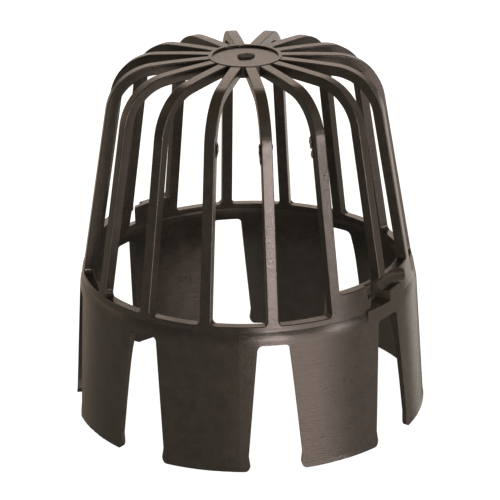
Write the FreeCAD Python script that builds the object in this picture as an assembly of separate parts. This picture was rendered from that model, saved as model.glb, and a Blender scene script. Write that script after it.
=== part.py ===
import FreeCAD, Part
import math
import os

from FreeCAD import Vector

# Leaf guard for a round rainwater outlet: one plastic moulding.
# Millimetres, +Z up, origin on the axis at the level of the tongue tips.

# ---- driving dimensions -------------------------------------------------
BAR_COUNT = 16            # bars of the cage
TONGUE_COUNT = 8          # sprung tongues under the collar
FIRST_BAR = 11.25         # degrees from -Y towards +X

TOTAL_H = 70.8            # tongue tips to flat top
RING_Z = 28.7             # top face of the ring the bars stand on
RING_R_OUT = 32.4         # outer face of the bars at the ring
RING_R_IN = 30.5          # bore of the ring
CORNER_R = 25.4           # where the leaning outer line would meet the top
CORNER_Z = 70.2           # height of that corner
DOME_R = 200.0            # the bars fall a little from the disc to the bend
BEND_R = 10.2             # outer bend of a bar
BAR_DEPTH = 1.95          # thickness of the cage wall
BAR_W = 2.1               # width of a bar
BAY_FILLET = 0.9          # bottom corners of the openings
BAR_EDGE = 0.2            # rounding along the bar edges

DISC_R = 7.0              # crown disc
DISC_T = 2.3
RECESS_R = 6.3            # shallow recess in the crown disc
RECESS_D = 0.4 
RECESS_EDGE = 0.15        # rounding of the rim of the recess
GATE_R = 1.35             # sprue stub left in the recess
GATE_H = 0.3

COLLAR_R = 33.03          # outside of the collar at the top of the gaps
CREASE_Z = 27.65          # foot of the ring band, where the shoulder starts
CREASE_R = 32.42          # the shoulder starts a little inside the band
SHOULDER = ((32.60, 27.2), (32.75, 26.75), (32.92, 25.95))
COLLAR_IN_Z = 27.4        # inside: the straight bore of the ring ends here
GAP_Z = 25.15             # top of the gaps between tongues
TIP_R = 34.75             # outside radius at the tongue tips
TIP_T = 1.0               # wall at the tongue tips
LIP_Z = 0.95              # the tips flare a little more below this
LIP_R = 34.60
GAP_HALF_TOP = 3.0        # half width of a gap at its top
GAP_HALF_LOW = 5.1        # half width of a gap just above the toes
TOE_Z = 3.2               # toes widen below this height
TOE_OUT = 0.25            # how far a toe widens on each side
GAP_CORNER = 0.95         # rounding of the gap corners
TOE_CORNER = 1.35         # rounding of the toe corners
TIP_ROUND = 0.22          # rounding of the tip edges

WALL_RISE = 3.75          # raised wall above the ring, two bays wide
WALL_BARS = (2, 10)       # bars in the middle of the raised walls
STOP_Z = 30.1             # outer edge of the block that ends the notch
STOP_IN = 0.78            # stop face left of the bar's middle at the bore
STOP_TURN = 22.3          # degrees the stop face turns in under the bar
STOP_TOP = 32.1           # the bar keeps its full section above this
BLOCK_END = 11.0          # degrees from the bar to the far end of the block
SHELF_Z = 28.0            # outer edge of the slope in front of the notch
APRON_RUN = 10.4          # degrees of shelf in front of the notch
TRACK_R = 1.5             # radius of the round track beside the notch
TRACK = (                 # degrees past the bar, radius and height
    (-9.0, 31.95, 31.5), (-4.0, 31.95, 31.5), (1.0, 31.95, 31.5),
    (5.0, 31.95, 31.5), (8.5, 32.15, 31.4), (11.5, 32.6, 31.0),
    (14.5, 33.3, 30.6), (17.5, 34.5, 30.3))
LEAN = (RING_R_OUT - CORNER_R) / (CORNER_Z - RING_Z)
PITCH = 360.0 / BAR_COUNT


def turn(shape, angle):
    s = shape.copy()
    s.rotate(Vector(0, 0, 0), Vector(0, 0, 1), angle)
    return s


def rz(r, z):
    """Point of a radial section; the section lies along -Y."""
    return Vector(0, -r, z)


def closed_face(edges):
    return Part.Face(Part.Wire(Part.__sortEdges__(edges)))


def line(a, b):
    return Part.makeLine(a, b)


def arc(a, m, b):
    return Part.Arc(a, m, b).toShape()


def spin(face, angle=360.0):
    return face.revolve(Vector(0, 0, 0), Vector(0, 0, 1), angle)


def outer_r(z):
    """Outer face of the cage at height z."""
    return RING_R_OUT - LEAN * (z - RING_Z)


# ---- cage shell: leaning side, bend, flat top ----------------------------
def cage_shell():
    tilt = math.atan(LEAN)
    mid_z = TOTAL_H - DOME_R      # middle of the slightly domed top
    # outer bend: touches the leaning side and the domed top
    zc = TOTAL_H - BEND_R
    for _ in range(60):
        rc = outer_r(zc) - BEND_R / math.cos(tilt)
        zc = mid_z + math.sqrt((DOME_R - BEND_R) ** 2 - rc ** 2)
    ri = BEND_R - BAR_DEPTH
    fall = math.atan2(rc, zc - mid_z)
    half = fall / 2

    def on_dome(radius, angle):
        return rz(radius * math.sin(angle), mid_z + radius * math.cos(angle))

    out_dir = Vector(0, -math.cos(tilt), math.sin(tilt))
    mid_a = (math.pi / 2 - fall + tilt) / 2
    mid_dir = Vector(0, -math.cos(mid_a), math.sin(mid_a))
    c = rz(rc, zc)
    o1 = c + out_dir * BEND_R
    o2 = c + mid_dir * BEND_R
    o3 = on_dome(DOME_R, fall)
    i1 = c + out_dir * ri
    i2 = c + mid_dir * ri
    i3 = on_dome(DOME_R - BAR_DEPTH, fall)
    z0 = CREASE_Z
    base_out = rz(outer_r(z0), z0)
    base_in = rz(outer_r(z0) - BAR_DEPTH / math.cos(tilt), z0)
    top_out = rz(0, TOTAL_H)
    top_in = rz(0, TOTAL_H - BAR_DEPTH)
    face = closed_face([
        line(base_out, o1), arc(o1, o2, o3),
        arc(o3, on_dome(DOME_R, half), top_out), line(top_out, top_in),
        arc(top_in, on_dome(DOME_R - BAR_DEPTH, half), i3),
        arc(i3, i2, i1), line(i1, base_in), line(base_in, base_out)])
    return spin(face)


def bay_prism(z0, z1, r_near, y_far, fillet):
    """Space between two neighbouring bars, centred on -Y.

    The inner end is an arc that touches both bars at radius r_near, so the
    walls run smoothly round it."""
    h = math.radians(PITCH / 2)
    apex = BAR_W / 2 / math.sin(h)
    c = (r_near - apex) / (1 - math.sin(h))
    r = c * math.sin(h)
    tx, ty = r * math.cos(h), apex + c - r * math.sin(h)
    b = y_far * math.tan(h) - BAR_W / 2 / math.cos(h)

    def v(x, y):
        return Vector(x, -y, z0)

    face = closed_face([
        line(v(tx, ty), v(b, y_far)), line(v(b, y_far), v(-b, y_far)),
        line(v(-b, y_far), v(-tx, ty)),
        arc(v(-tx, ty), v(0, r_near), v(tx, ty))])
    solid = face.extrude(Vector(0, 0, z1 - z0))
    if fillet > 0:
        pick = []
        for e in solid.Edges:
            p, q = e.Vertexes[0].Point, e.Vertexes[-1].Point
            if abs(p.z - z0) < 1e-6 and abs(q.z - z0) < 1e-6:
                if abs(p.y - q.y) > 1.0:
                    pick.append(e)
        solid = solid.makeFillet(fillet, pick)
    return solid


def raised_bays():
    out = set()
    for b in WALL_BARS:
        out.add(b % BAR_COUNT)
        out.add((b + 1) % BAR_COUNT)
    return out


def sharp_edges(shape, z_min):
    """Edges above z_min where two faces meet at an angle."""
    pick = []
    for e in shape.Edges:
        if e.Degenerated:
            continue
        mid = e.valueAt((e.FirstParameter + e.LastParameter) / 2)
        if mid.z < z_min:
            continue
        normals = []
        for f in shape.ancestorsOfType(e, Part.Face):
            u, w = f.Surface.parameter(mid)
            normals.append(f.normalAt(u, w))
        if len(normals) == 2 and abs(normals[0].dot(normals[1])) < 0.9:
            pick.append(e)
    return pick


def cage():
    """Shell with the bays cut out; bay k lies between bar k-1 and bar k."""
    shell = cage_shell()
    high = raised_bays()
    for k in range(BAR_COUNT):
        z0 = RING_Z + (WALL_RISE if k in high else 0.0)
        up = bay_prism(45.0, TOTAL_H + 5, DISC_R - 0.2, 40.0, 0)
        low = bay_prism(z0, 46.0, 18.0, 40.0, BAY_FILLET)
        shell = shell.cut(turn(up.fuse(low).removeSplitter(), k * PITCH))
    return shell.makeFillet(BAR_EDGE, sharp_edges(shell, CREASE_Z + 0.1))


# ---- ring, collar and tongues -------------------------------------------
def base_ring():
    """Ring, rounded shoulder and flaring tongue wall, as one turned shape."""
    in_r = RING_R_IN
    seat = CREASE_Z + 0.15    # the cage supplies the top of the ring
    band = outer_r(CREASE_Z)
    flare = (LIP_R - COLLAR_R) / (GAP_Z - LIP_Z)

    def wall_out(z):
        return COLLAR_R + flare * (GAP_Z - z)

    def wall_in(z, thick):
        return rz(wall_out(z) - thick, z)

    top = [rz(in_r, seat), rz(outer_r(seat), seat), rz(band, CREASE_Z),
           rz(CREASE_R, CREASE_Z - 0.05)]
    end = rz(COLLAR_R, GAP_Z)
    lip = rz(LIP_R, LIP_Z)
    shoulder = Part.BSplineCurve()
    shoulder.interpolate(
        Points=[top[3]] + [rz(r, z) for r, z in SHOULDER] + [end],
        InitialTangent=Vector(0, -0.42, -1.0),
        FinalTangent=lip - end)
    t = TIP_ROUND
    o1, o2 = rz(TIP_R - 0.02, t), rz(TIP_R - t, 0.0)
    tip_in = TIP_R - TIP_T
    i1, i2 = rz(tip_in + t, 0.0), rz(tip_in, t)
    o_mid = rz(TIP_R - 0.3 * t, 0.29 * t)
    i_mid = rz(tip_in + 0.29 * t, 0.29 * t)
    inner = Part.BSplineCurve()
    inner.interpolate(
        Points=[i2, wall_in(9.0, 0.97), wall_in(17.0, 1.1),
                wall_in(21.0, 1.38), wall_in(24.3, 1.95),
                rz(in_r + 0.17, 26.2), rz(in_r, COLLAR_IN_Z)],
        InitialTangent=Vector(0, 0.09, 1.0),
        FinalTangent=Vector(0, 0.0, 1.0))
    face = closed_face([
        line(top[0], top[1]), line(top[1], top[2]), line(top[2], top[3]),
        shoulder.toShape(), line(end, lip), line(lip, o1),
        arc(o1, o_mid, o2), line(o2, i1), arc(i1, i_mid, i2),
        inner.toShape(), line(rz(in_r, COLLAR_IN_Z), top[0])])
    return spin(face)


def gap_cutter():
    """Gap between two tongues, centred on -Y, cut along the radius."""
    y = -28.0
    c = GAP_CORNER
    s = (GAP_HALF_LOW - GAP_HALF_TOP) / (GAP_Z - TOE_Z)
    side_top = GAP_HALF_TOP + s * c
    low_in = GAP_HALF_LOW - TOE_OUT
    toe = TOE_CORNER

    def side(sign):
        def v(x, z):
            return Vector(sign * x, y, z)
        k = 0.2929
        return [
            line(v(0, GAP_Z), v(GAP_HALF_TOP - c, GAP_Z)),
            arc(v(GAP_HALF_TOP - c, GAP_Z),
                v(GAP_HALF_TOP - k * c, GAP_Z - k * c),
                v(side_top, GAP_Z - c)),
            line(v(side_top, GAP_Z - c), v(GAP_HALF_LOW, TOE_Z)),
            line(v(GAP_HALF_LOW, TOE_Z), v(low_in, toe)),
            arc(v(low_in, toe), v(low_in + k * toe, k * toe),
                v(low_in + toe, 0)),
            line(v(low_in + toe, 0), v(low_in + toe, -1)),
            line(v(low_in + toe, -1), v(0, -1))]

    face = closed_face(side(1) + side(-1))
    return face.extrude(Vector(0, -10, 0))


# ---- raised wall, notch, block and run-down track --------------------------
def at(angle, r, z):
    a = math.radians(angle)
    return Vector(r * math.sin(a), -r * math.cos(a), z)


def block(bar_angle):
    """Block outside the raised wall that the notch stops against."""
    foot = GAP_Z + 0.15
    rim = COLLAR_R - 0.02
    face = closed_face([
        line(rz(31.4, foot), rz(rim, foot)),
        line(rz(rim, foot), rz(rim, STOP_Z)),
        line(rz(rim, STOP_Z), rz(31.4, STOP_Z + 0.3)),
        line(rz(31.4, STOP_Z + 0.3), rz(31.4, foot))])
    first = bar_angle - 2.3
    solid = spin(turn(face, first), BLOCK_END + 2.3)
    return solid.cut(notch_foot(bar_angle, GAP_Z))


def apron(bar_angle):
    """Floor of the notch: a shelf that slopes down to the collar."""
    foot = GAP_Z + 0.15
    rim = COLLAR_R - 0.02
    face = closed_face([
        line(rz(31.4, foot), rz(rim, foot)),
        line(rz(rim, foot), rz(rim, SHELF_Z)),
        line(rz(rim, SHELF_Z), rz(RING_R_IN, RING_Z)),
        line(rz(RING_R_IN, RING_Z), rz(RING_R_IN, CREASE_Z - 0.4)),
        line(rz(RING_R_IN, CREASE_Z - 0.4), rz(31.4, foot))])
    return spin(turn(face, bar_angle - APRON_RUN), APRON_RUN + 1.5)


def notch_foot(bar_angle, z0):
    """Lower part of the notch: its far wall turns in under the bar."""
    a = math.radians(bar_angle)
    er = Vector(math.sin(a), -math.cos(a), 0)
    et = Vector(math.cos(a), math.sin(a), 0)
    apex = er * 29.5 - et * (BAR_W / 2)
    hinge = er * 29.5 - et * STOP_IN
    under = hinge + er * 9.0 + et * (9.0 * math.tan(math.radians(STOP_TURN)))
    b = math.radians(bar_angle - 52.9)
    left = apex + Vector(math.sin(b), -math.cos(b), 0) * 12.0
    pts = [v + Vector(0, 0, z0) for v in (apex, hinge, under, left, apex)]
    return Part.Face(Part.makePolygon(pts)).extrude(
        Vector(0, 0, STOP_TOP - z0))


def notch_cut(bar_angle):
    """V notch in the raised wall, against the side of the bar."""
    a = math.radians(bar_angle)
    er = Vector(math.sin(a), -math.cos(a), 0)
    et = Vector(math.cos(a), math.sin(a), 0)
    z0 = Vector(0, 0, RING_Z)
    apex = er * 29.5 - et * (BAR_W / 2)
    right = er * 39.0 - et * (BAR_W / 2)
    b = math.radians(bar_angle - 52.9)
    left = apex + Vector(math.sin(b), -math.cos(b), 0) * 12.0
    high = [apex + z0, right + z0, left + z0, apex + z0]
    up = Part.Face(Part.makePolygon(high)).extrude(Vector(0, 0, 8.0))
    return up.fuse(notch_foot(bar_angle, CREASE_Z))


def track_cut(bar_angle):
    """Round track from the notch, level at first, then running down."""
    pts = [at(bar_angle + d, r, z) for d, r, z in TRACK]
    curve = Part.BSplineCurve()
    curve.interpolate(pts)
    path = Part.Wire(curve.toShape())
    start = curve.tangent(curve.FirstParameter)[0]
    ring = Part.Wire(Part.makeCircle(TRACK_R, pts[0], start))
    return path.makePipeShell([ring], True, True)


def recess_cut():
    """Shallow recess in the crown disc, with a rounded rim."""
    z0, z1, e = TOTAL_H - RECESS_D, TOTAL_H, RECESS_EDGE
    face = closed_face([
        line(rz(0, z0), rz(RECESS_R, z0)),
        line(rz(RECESS_R, z0), rz(RECESS_R, z1 - e)),
        arc(rz(RECESS_R, z1 - e), rz(RECESS_R + 0.293 * e, z1 - 0.293 * e),
            rz(RECESS_R + e, z1)),
        line(rz(RECESS_R + e, z1), rz(RECESS_R + e, z1 + 1.0)),
        line(rz(RECESS_R + e, z1 + 1.0), rz(0, z1 + 1.0)),
        line(rz(0, z1 + 1.0), rz(0, z0))])
    return spin(face)


def build():
    body = base_ring()
    gap = gap_cutter()
    for k in range(TONGUE_COUNT):
        body = body.cut(turn(gap, FIRST_BAR + k * 360.0 / TONGUE_COUNT))
    body = body.fuse(cage())
    disc = Part.makeCylinder(DISC_R, DISC_T,
                             Vector(0, 0, TOTAL_H - DISC_T))
    body = body.fuse(disc)
    for b in WALL_BARS:
        ang = FIRST_BAR + b * PITCH
        body = body.fuse(block(ang))
        body = body.cut(notch_cut(ang))
        body = body.fuse(apron(ang))
        body = body.cut(track_cut(ang))
    body = body.cut(recess_cut())
    stub = Part.makeCone(GATE_R, GATE_R * 0.8, GATE_H + 0.5,
                         Vector(0, 0, TOTAL_H - RECESS_D - 0.5))
    body = body.fuse(stub)
    return body.removeSplitter()


os.makedirs("parts", exist_ok=True)
leaf_guard = build()
if leaf_guard.ShapeType == "Compound" and len(leaf_guard.Solids) == 1:
    leaf_guard = leaf_guard.Solids[0]
print("leaf_guard", leaf_guard.ShapeType, "solids", len(leaf_guard.Solids),
      "valid", leaf_guard.isValid(), "faces", len(leaf_guard.Faces),
      "volume", round(leaf_guard.Volume, 1))
bb = leaf_guard.BoundBox
print("box", [round(v, 3) for v in
              (bb.XMin, bb.XMax, bb.YMin, bb.YMax, bb.ZMin, bb.ZMax)])
leaf_guard.exportStep("parts/leaf_guard.step")
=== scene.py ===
import bpy
import math
from mathutils import Matrix, Vector


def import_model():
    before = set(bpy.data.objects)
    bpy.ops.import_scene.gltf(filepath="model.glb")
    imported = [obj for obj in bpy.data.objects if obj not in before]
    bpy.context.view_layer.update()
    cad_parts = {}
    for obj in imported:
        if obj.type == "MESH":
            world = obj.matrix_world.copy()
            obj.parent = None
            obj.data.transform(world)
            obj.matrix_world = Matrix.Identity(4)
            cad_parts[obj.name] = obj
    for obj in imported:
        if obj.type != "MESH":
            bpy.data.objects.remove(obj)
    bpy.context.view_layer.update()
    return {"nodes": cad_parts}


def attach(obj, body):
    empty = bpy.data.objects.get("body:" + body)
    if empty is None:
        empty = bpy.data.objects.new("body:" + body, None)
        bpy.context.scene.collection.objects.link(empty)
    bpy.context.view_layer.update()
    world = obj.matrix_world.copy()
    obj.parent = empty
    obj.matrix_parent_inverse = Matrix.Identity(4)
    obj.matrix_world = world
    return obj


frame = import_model()
scene = bpy.context.scene

MM = 0.001
RING_Z = 28.7 * MM
guard = frame["nodes"]["leaf_guard"]


# ---- camera: the photograph's viewpoint ----------------------------------
def make_camera():
    el = math.radians(22.593)
    dist = 473.2 * MM
    fwd = Vector((0, math.cos(el), -math.sin(el)))
    right = Vector((1, 0, 0))
    up = right.cross(fwd)
    yaw = Matrix.Rotation(math.radians(-0.048), 3, up)
    fwd, right = yaw @ fwd, yaw @ right
    pitch = Matrix.Rotation(math.radians(0.237), 3, right)
    fwd, up = pitch @ fwd, pitch @ up
    roll = Matrix.Rotation(math.radians(0.804), 3, fwd)
    right, up = roll @ right, roll @ up
    pos = Vector((0, -math.cos(el), math.sin(el))) * dist
    pos.z += RING_Z
    m = Matrix((
        (right.x, up.x, -fwd.x, pos.x),
        (right.y, up.y, -fwd.y, pos.y),
        (right.z, up.z, -fwd.z, pos.z),
        (0, 0, 0, 1)))
    m = Matrix.Rotation(math.radians(3.332), 4, "Z") @ m
    data = bpy.data.cameras.new("camera")
    data.sensor_width = 36.0
    data.lens = 173.67
    data.clip_start = 0.01
    data.clip_end = 50.0
    cam = bpy.data.objects.new("camera", data)
    scene.collection.objects.link(cam)
    cam.matrix_world = m
    scene.camera = cam
    return cam


camera = make_camera()


# ---- node helpers ---------------------------------------------------------
def new_material(name):
    m = bpy.data.materials.new(name)
    m.use_nodes = True
    nt = m.node_tree
    nt.nodes.clear()
    out = nt.nodes.new("ShaderNodeOutputMaterial")
    bsdf = nt.nodes.new("ShaderNodeBsdfPrincipled")
    nt.links.new(bsdf.outputs["BSDF"], out.inputs["Surface"])
    return m, nt, bsdf


def node(nt, kind, **values):
    n = nt.nodes.new(kind)
    for k, v in values.items():
        if k in n.inputs.keys():
            n.inputs[k].default_value = v
        else:
            setattr(n, k, v)
    return n


def mapping(nt, scale):
    tc = node(nt, "ShaderNodeTexCoord")
    mp = node(nt, "ShaderNodeMapping")
    mp.inputs["Scale"].default_value = scale
    nt.links.new(tc.outputs["Object"], mp.inputs["Vector"])
    return mp.outputs["Vector"]


def noise(nt, vector, scale, detail=3.0, rough=0.5):
    n = node(nt, "ShaderNodeTexNoise")
    n.inputs["Scale"].default_value = scale
    n.inputs["Detail"].default_value = detail
    n.inputs["Roughness"].default_value = rough
    nt.links.new(vector, n.inputs["Vector"])
    return n.outputs["Fac"]


def map_range(nt, value, a, b, c, d):
    n = node(nt, "ShaderNodeMapRange")
    n.inputs["From Min"].default_value = a
    n.inputs["From Max"].default_value = b
    n.inputs["To Min"].default_value = c
    n.inputs["To Max"].default_value = d
    nt.links.new(value, n.inputs["Value"])
    return n.outputs["Result"]


def math_node(nt, op, a, b):
    n = node(nt, "ShaderNodeMath", operation=op)
    for i, v in enumerate((a, b)):
        if isinstance(v, (int, float)):
            n.inputs[i].default_value = v
        else:
            nt.links.new(v, n.inputs[i])
    return n.outputs[0]


def mix_colour(nt, fac, a, b):
    n = node(nt, "ShaderNodeMix", data_type="RGBA")
    nt.links.new(fac, n.inputs["Factor"])
    for key, v in (("A", a), ("B", b)):
        socket = [s for s in n.inputs if s.name == key and s.type == "RGBA"][0]
        if isinstance(v, tuple):
            socket.default_value = v
        else:
            nt.links.new(v, socket)
    return [s for s in n.outputs if s.type == "RGBA"][0]


# ---- satin olive-black moulded plastic --------------------------------------
def plastic(name, dark, pale, rough_lo, rough_hi, depth):
    m, nt, bsdf = new_material(name)
    even = mapping(nt, (1.0, 1.0, 1.0))
    lines = mapping(nt, (0.08, 0.08, 1.0))
    runs = mapping(nt, (1.0, 1.0, 0.12))
    cloud = noise(nt, even, 70.0, 4.0, 0.6)
    mottle = noise(nt, even, 480.0, 3.0, 0.6)
    grain = noise(nt, even, 3600.0, 2.0, 0.6)
    tool = noise(nt, lines, 2600.0, 3.0, 0.65)
    flow = noise(nt, runs, 260.0, 3.0, 0.6)

    tone = math_node(nt, "ADD", math_node(nt, "MULTIPLY", cloud, 0.35),
                     math_node(nt, "MULTIPLY", mottle, 0.35))
    tone = math_node(nt, "ADD", tone, math_node(nt, "MULTIPLY", grain, 0.30))
    tone = map_range(nt, tone, 0.38, 0.62, 0.0, 1.0)
    colour = mix_colour(nt, tone, dark, pale)
    nt.links.new(colour, bsdf.inputs["Base Color"])

    rough = math_node(nt, "ADD", math_node(nt, "MULTIPLY", flow, 0.4),
                      math_node(nt, "MULTIPLY", mottle, 0.4))
    rough = math_node(nt, "ADD", rough, math_node(nt, "MULTIPLY", tool, 0.2))
    rough = map_range(nt, rough, 0.3, 0.7, rough_lo, rough_hi)
    nt.links.new(rough, bsdf.inputs["Roughness"])

    height = math_node(nt, "ADD", math_node(nt, "MULTIPLY", grain, 0.50),
                       math_node(nt, "MULTIPLY", tool, 0.32))
    height = math_node(nt, "ADD", height,
                       math_node(nt, "MULTIPLY", mottle, 0.14))
    bump = node(nt, "ShaderNodeBump")
    bump.inputs["Strength"].default_value = 0.7
    bump.inputs["Distance"].default_value = depth
    nt.links.new(height, bump.inputs["Height"])
    nt.links.new(bump.outputs["Normal"], bsdf.inputs["Normal"])
    bsdf.inputs["IOR"].default_value = 1.46
    return m


satin = plastic("black_plastic_satin", (0.0135, 0.0121, 0.0096, 1),
                (0.0265, 0.0228, 0.0186, 1), 0.14, 0.25, 0.000105)
guard.data.materials.clear()
guard.data.materials.append(satin)


# ---- small marks of the moulding, the pale ones partly a painted highlight ---
LEAN = (32.4 - 25.4) / (70.2 - 28.7)


def on_bar(angle, z, aside, back):
    """Point at a bar: aside along the ring, back from its outer face (mm)."""
    a = math.radians(angle)
    r = 32.4 - LEAN * (z - 28.7) - back
    return Vector((r * math.sin(a) + aside * math.cos(a),
                   -r * math.cos(a) + aside * math.sin(a), z)) * MM


def add_piece(name, verts, faces, material):
    me = bpy.data.meshes.new(name)
    me.from_pydata(verts, [], faces)
    me.update()
    me.polygons.foreach_set("use_smooth", [True] * len(me.polygons))
    me.materials.append(material)
    o = bpy.data.objects.new(name, me)
    scene.collection.objects.link(o)
    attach(o, "root")
    return o


def ridge(name, path, radius, material, wave=0.35, seed=0.0):
    """Lumpy bead along a path (m), closed and thin at both ends."""
    sides, steps = 10, 8 * (len(path) - 1)
    verts, faces = [], []
    for i in range(steps + 1):
        u = i / steps * (len(path) - 1)
        k = min(int(u), len(path) - 2)
        c = path[k].lerp(path[k + 1], u - k)
        d = (path[k + 1] - path[k]).normalized()
        n = d.orthogonal().normalized()
        b = d.cross(n)
        t = i / steps
        swell = max(0.12, math.sin(math.pi * t) ** 0.5)
        swell *= 1 + wave * math.sin(11.0 * t + seed) * math.sin(5 * t + 2 * seed)
        for j in range(sides):
            w = 2 * math.pi * j / sides
            r = radius * MM * swell * (1 + 0.12 * math.sin(3 * w + seed + 4 * t))
            verts.append(c + (n * math.cos(w) + b * math.sin(w)) * r)
    for i in range(steps):
        for j in range(sides):
            q = (j + 1) % sides
            faces.append((i * sides + j, i * sides + q,
                          (i + 1) * sides + q, (i + 1) * sides + j))
    faces.append(tuple(reversed(range(sides))))
    faces.append(tuple(range(steps * sides, (steps + 1) * sides)))
    return add_piece(name, verts, faces, material)


def gate_mark(material):
    """Rough scar of the broken-off gate, over its stub in the crown recess."""
    rings, sides = 12, 60
    base = 70.30
    verts = [(0.1 * MM, 0.1 * MM, 70.775 * MM)]
    faces = []
    for i in range(1, rings + 1):
        f = i / rings
        for j in range(sides):
            w = 2 * math.pi * j / sides
            edge = 1.55 + 0.17 * math.sin(2 * w + 0.7) + 0.10 * math.sin(5 * w)
            r = edge * f
            x, y = r * math.cos(w), r * math.sin(w)
            if i == rings:
                z = base
            else:
                z = 70.754 - 0.03 * f ** 8 \
                    + 0.026 * math.sin(6.1 * x + 1.3) * math.cos(5.3 * y + 0.4) \
                    + 0.010 * math.sin(13.0 * x - 7.0 * y)
            verts.append(((0.1 + x) * MM, (0.1 + y) * MM, z * MM))
    for j in range(sides):
        faces.append((0, 1 + j, 1 + (j + 1) % sides))
    for i in range(rings - 1):
        for j in range(sides):
            q = (j + 1) % sides
            a, b = 1 + i * sides, 1 + (i + 1) * sides
            faces.append((a + j, b + j, b + q, a + q))
    last = 1 + (rings - 1) * sides
    faces.append(tuple(reversed(range(last, last + sides))))
    return add_piece("gate_mark", verts, faces, material)


scar = plastic("black_plastic_scar", (0.020, 0.019, 0.014, 1),
               (0.042, 0.040, 0.031, 1), 0.62, 0.85, 0.00016)
# pale flash tone: partly the thin flash's own stress-whitened colour, partly a
# painted highlight where the flash catches light
flash_and_glint = plastic("black_plastic_flash_and_glint", (0.040, 0.037, 0.032, 1),
                (0.110, 0.103, 0.092, 1), 0.28, 0.42, 0.00005)
gate_mark(scar)
ridge("flash_bar_a_left", [on_bar(11.25, 62.1, -1.2, 1.1),
                           on_bar(11.25, 60.6, -1.26, 0.95),
                           on_bar(11.25, 58.2, -1.16, 0.95)], 0.22, satin,
      0.25, 0.3)
ridge("flash_bar_a_right", [on_bar(11.25, 62.0, 1.05, 1.0),
                            on_bar(11.25, 60.8, 1.05, 0.9)], 0.22, satin,
      0.3, 1.1)
ridge("flash_bar_b_right", [on_bar(-11.25, 62.2, 1.2, 1.35),
                            on_bar(-11.25, 60.8, 1.25, 1.3),
                            on_bar(-11.25, 59.3, 1.15, 1.3)], 0.19, satin,
      0.25, 2.0)
ridge("flash_and_glint_bar_c_high", [on_bar(33.75, 62.2, -1.2, 1.75),
                           on_bar(33.75, 61.0, -1.3, 1.75),
                           on_bar(33.75, 59.8, -1.25, 1.75)], 0.26, flash_and_glint,
      0.4, 0.9)
ridge("flash_and_glint_bar_c_low", [on_bar(33.75, 59.6, -1.15, 1.75),
                          on_bar(33.75, 58.1, -1.2, 1.75)], 0.2, flash_and_glint,
      0.3, 2.6)
# pale bead at the foot of the bar: a painted highlight standing in for the glint
# on the foot's fillet
ridge("foot_bead_painted_glint", [on_bar(-56.25, 30.15, 1.05, 0.25),
                     on_bar(-56.25, 30.0, 1.12, 1.0),
                     on_bar(-56.25, 29.8, 1.05, 1.8)], 0.2, flash_and_glint,
      0.2, 1.7)


# ---- floor, light ----------------------------------------------------------
def floor():
    me = bpy.data.meshes.new("floor")
    s = 6.0
    me.from_pydata([(-s, -s, 0), (s, -s, 0), (s, s, 0), (-s, s, 0)], [],
                   [(0, 1, 2, 3)])
    o = bpy.data.objects.new("floor", me)
    scene.collection.objects.link(o)
    m, nt, bsdf = new_material("pale_floor")
    v = mapping(nt, (1.0, 1.0, 1.0))
    n = noise(nt, v, 8.0, 2.0, 0.5)
    c = mix_colour(nt, n, (0.48, 0.48, 0.48, 1), (0.52, 0.52, 0.52, 1))
    nt.links.new(c, bsdf.inputs["Base Color"])
    bsdf.inputs["Roughness"].default_value = 0.9
    bsdf.inputs["Specular IOR Level"].default_value = 0.2
    bsdf.inputs["Emission Color"].default_value = (1, 1, 1, 1)
    bsdf.inputs["Emission Strength"].default_value = 0.98
    me.materials.append(m)
    # the plastic mirrors the studio, not the floor
    o.visible_glossy = False
    o.visible_shadow = False
    return o


ground = floor()
ground.location.z = -0.0002


# Panels of the surrounding studio: azimuth from the camera's side (+ to the
# right) and elevation of the middle, width and height, the widths over which
# its sides and its top and foot fade out (all degrees), level, colour.
PANELS = (
    (4, -24, 24, 24, 10, 6, 0.75, (1.00, 0.88, 0.72)),    # low, in front
    (110, -8, 40, 50, 16, 6, 0.44, (1.00, 0.87, 0.70)),   # right, turning back
    (180, 2, 46, 8, 6, 6, 1.40, (1.00, 0.87, 0.84)),      # back wall, foot
    (180, 14, 94, 16, 6, 6, 0.54, (1.00, 0.81, 0.65)),    # back wall
    (180, 22.5, 62, 15, 8, 5, 1.30, (1.00, 0.82, 0.70)),  # back window
    (180, 31, 94, 18, 6, 6, 0.94, (1.00, 0.78, 0.65)),    # back wall, high
    (250, 20, 40, 52, 6, 6, 0.85, (1.00, 0.76, 0.56)),    # left, turning back
    (207, -14, 46, 22, 10, 6, 0.52, (1.00, 0.80, 0.62)),  # left rim
    (148, -14, 24, 22, 8, 6, 1.20, (1.00, 0.90, 0.80)),   # right rim
    (290, -20, 120, 28, 6, 6, 0.28, (1.00, 0.88, 0.70)),  # left, low
    (305, 18, 70, 56, 6, 6, 0.13, (1.00, 1.00, 0.92)),    # left
    (80, 32, 100, 28, 6, 6, 0.62, (1.00, 0.92, 0.77)),    # right, high
    (0, 32, 60, 28, 6, 6, 0.45, (1.00, 1.00, 0.88)),      # above the camera
    (0, 72, 360, 52, 6, 6, 0.32, (1.00, 0.81, 0.60)),     # ceiling
    (15.8, 2.6, 11, 4, 5, 2, 76.0, (1.00, 0.82, 0.78)),   # key, core
    (19, -3, 24, 12, 7, 4, 3.4, (1.00, 0.79, 0.74)),      # key
    (42, -3, 22, 12, 10, 4, 3.2, (1.00, 0.82, 0.72)),     # key, middle
    (60, 2.6, 8, 4, 4, 2, 62.0, (1.00, 0.84, 0.79)),      # key, side
    (62, -6, 16, 6, 8, 3, 1.0, (1.00, 0.83, 0.77)),       # key, side foot
    (34, -16.5, 40, 16, 26, 6, 5.8, (1.00, 0.78, 0.69)),  # low key
    (72, -16.5, 44, 16, 24, 6, 1.0, (1.00, 0.82, 0.73)),  # low key, side
    (34, 6, 48, 6, 8, 3, 1.4, (1.00, 0.81, 0.73)),        # key, top
    (34, 13, 48, 8, 8, 5, 0.8, (1.00, 0.84, 0.77)),      # key, rise
)


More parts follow.
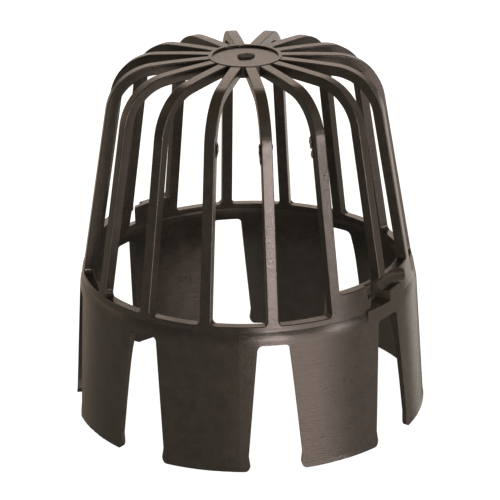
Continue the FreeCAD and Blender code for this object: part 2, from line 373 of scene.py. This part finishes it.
def world():
    w = bpy.data.worlds.new("studio")
    scene.world = w
    w.use_nodes = True
    nt = w.node_tree
    nt.nodes.clear()
    out = nt.nodes.new("ShaderNodeOutputWorld")
    bg = nt.nodes.new("ShaderNodeBackground")
    tc = node(nt, "ShaderNodeTexCoord")
    turn = node(nt, "ShaderNodeMapping")
    turn.inputs["Rotation"].default_value = (0, 0, math.radians(-3.332))
    nt.links.new(tc.outputs["Generated"], turn.inputs["Vector"])
    sep = node(nt, "ShaderNodeSeparateXYZ")
    nt.links.new(turn.outputs["Vector"], sep.inputs[0])
    ahead = math_node(nt, "MULTIPLY", sep.outputs["Y"], -1.0)
    az = math_node(nt, "ARCTAN2", sep.outputs["X"], ahead)
    az = math_node(nt, "MULTIPLY", az, 180.0 / math.pi)
    el = math_node(nt, "ARCSINE", sep.outputs["Z"], 0.0)
    el = math_node(nt, "MULTIPLY", el, 180.0 / math.pi)
    total = None
    for az0, el0, wide, high, side, rim, level, colour in PANELS:
        wrap = node(nt, "ShaderNodeMath", operation="WRAP")
        nt.links.new(math_node(nt, "SUBTRACT", az, float(az0)), wrap.inputs[0])
        wrap.inputs[1].default_value = 180.0
        wrap.inputs[2].default_value = -180.0
        d = math_node(nt, "ABSOLUTE", wrap.outputs[0], 0.0)
        e = math_node(nt, "ABSOLUTE",
                      math_node(nt, "SUBTRACT", el, float(el0)), 0.0)
        across = map_range(nt, d, (wide - side) / 2, (wide + side) / 2, 1, 0)
        upright = map_range(nt, e, (high - rim) / 2, (high + rim) / 2, 1, 0)
        one = node(nt, "ShaderNodeVectorMath", operation="SCALE")
        one.inputs[0].default_value = [level * c for c in colour]
        nt.links.new(math_node(nt, "MULTIPLY", across, upright),
                     one.inputs["Scale"])
        if total is None:
            total = one.outputs[0]
        else:
            add = node(nt, "ShaderNodeVectorMath", operation="ADD")
            nt.links.new(total, add.inputs[0])
            nt.links.new(one.outputs[0], add.inputs[1])
            total = add.outputs[0]
    nt.links.new(total, bg.inputs["Color"])
    # the backdrop itself is plain white
    white = nt.nodes.new("ShaderNodeBackground")
    white.inputs["Color"].default_value = (1, 1, 1, 1)
    path = node(nt, "ShaderNodeLightPath")
    mix = nt.nodes.new("ShaderNodeMixShader")
    nt.links.new(path.outputs["Is Camera Ray"], mix.inputs["Fac"])
    nt.links.new(bg.outputs["Background"], mix.inputs[1])
    nt.links.new(white.outputs["Background"], mix.inputs[2])
    nt.links.new(mix.outputs["Shader"], out.inputs["Surface"])


world()
scene.view_settings.view_transform = "Standard"
scene.view_settings.look = "None"
scene.view_settings.exposure = 0.0
